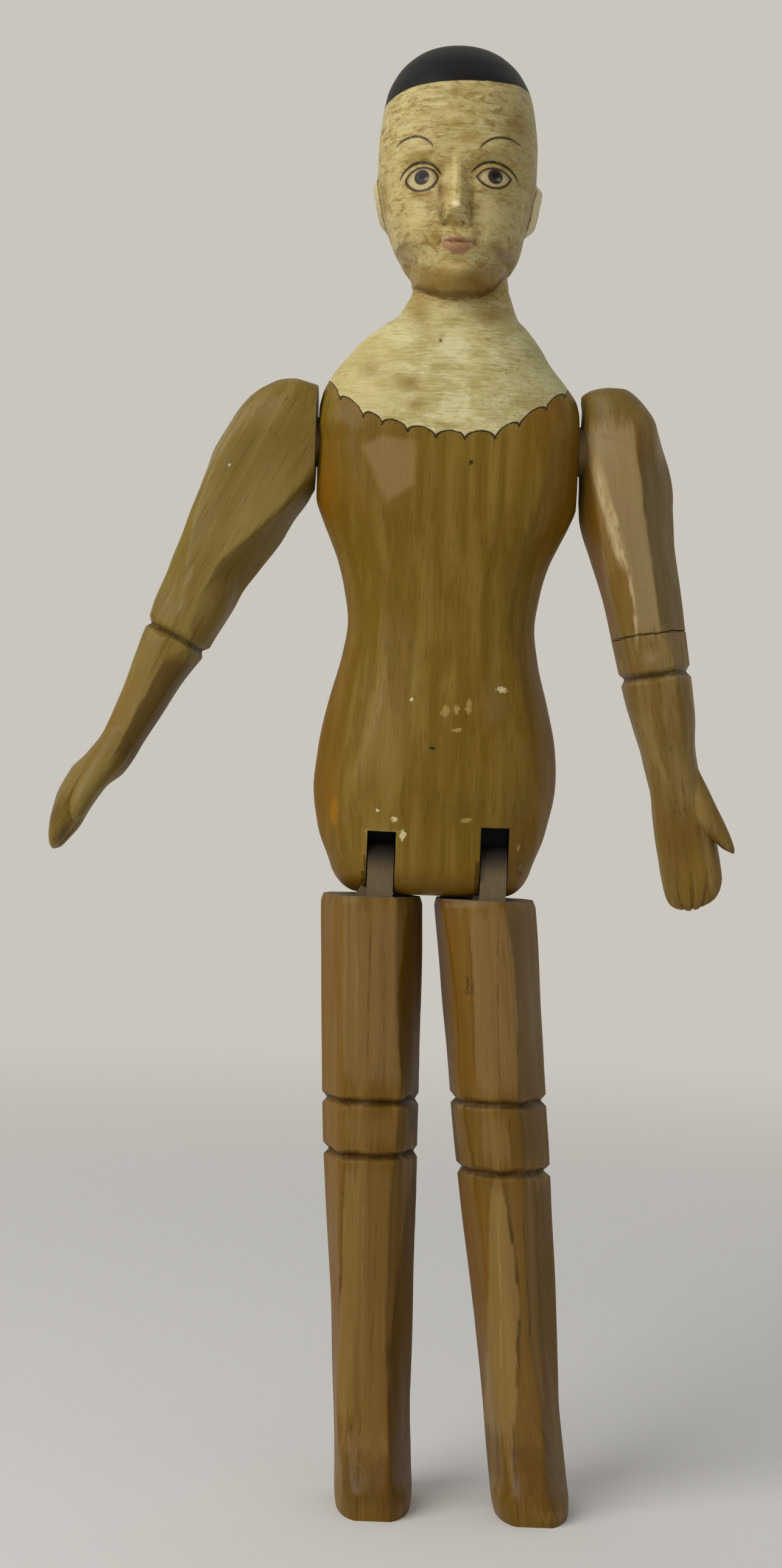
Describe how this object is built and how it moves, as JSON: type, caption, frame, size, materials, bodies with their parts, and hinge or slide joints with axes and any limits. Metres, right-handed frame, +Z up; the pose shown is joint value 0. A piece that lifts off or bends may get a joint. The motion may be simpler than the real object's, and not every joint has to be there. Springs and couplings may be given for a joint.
{
  "type": "jointed wooden doll",
  "caption": "Carved, painted wooden peg doll with arms that turn on shoulder pegs and legs hinged on pins in slots of the hips; it stands on flat soles.",
  "frame": {"origin": "on the floor under the middle of the bounding box; the doll's own middle plane is at x = 16.9 mm and y = 1.2 mm, because its right arm is spread farther than its left one", "axes": "+Z up along the body, -Y the way the doll faces, +X towards the doll's left"},
  "size_m": [0.278, 0.0843, 0.5875],
  "materials": {
    "painted_wood": "satin",
    "bare_wood": "matte"
  },
  "bodies": {
    "torso": {"head_and_torso": "painted_wood", "right_shoulder_pin": "bare_wood", "left_shoulder_pin": "bare_wood", "right_hip_pin": "bare_wood", "left_hip_pin": "bare_wood"},
    "right_arm": {"right_arm": "painted_wood", "right_shoulder_peg": "bare_wood"},
    "left_arm": {"left_upper_arm": "painted_wood", "left_forearm": "painted_wood", "left_elbow_dowel": "bare_wood", "left_shoulder_peg": "bare_wood"},
    "right_leg": {"right_leg": "painted_wood"},
    "left_leg": {"left_leg": "painted_wood"}
  },
  "joints": [
    {"name": "right_shoulder", "type": "hinge", "parent": "torso", "child": "right_arm", "pos_m": [-0.03696, 0.00119, 0.426], "axis": [-1, 0, 0], "continuous": true},
    {"name": "left_shoulder", "type": "hinge", "parent": "torso", "child": "left_arm", "pos_m": [0.07084, 0.00119, 0.426], "axis": [-1, 0, 0], "continuous": true},
    {"name": "right_hip", "type": "hinge", "parent": "torso", "child": "right_leg", "pos_m": [-0.00546, -0.01431, 0.2568], "axis": [-1, 0, 0], "range_deg": [0, 90]},
    {"name": "left_hip", "type": "hinge", "parent": "torso", "child": "left_leg", "pos_m": [0.03934, -0.01431, 0.2568], "axis": [-1, 0, 0], "range_deg": [0, 90]}
  ]
}
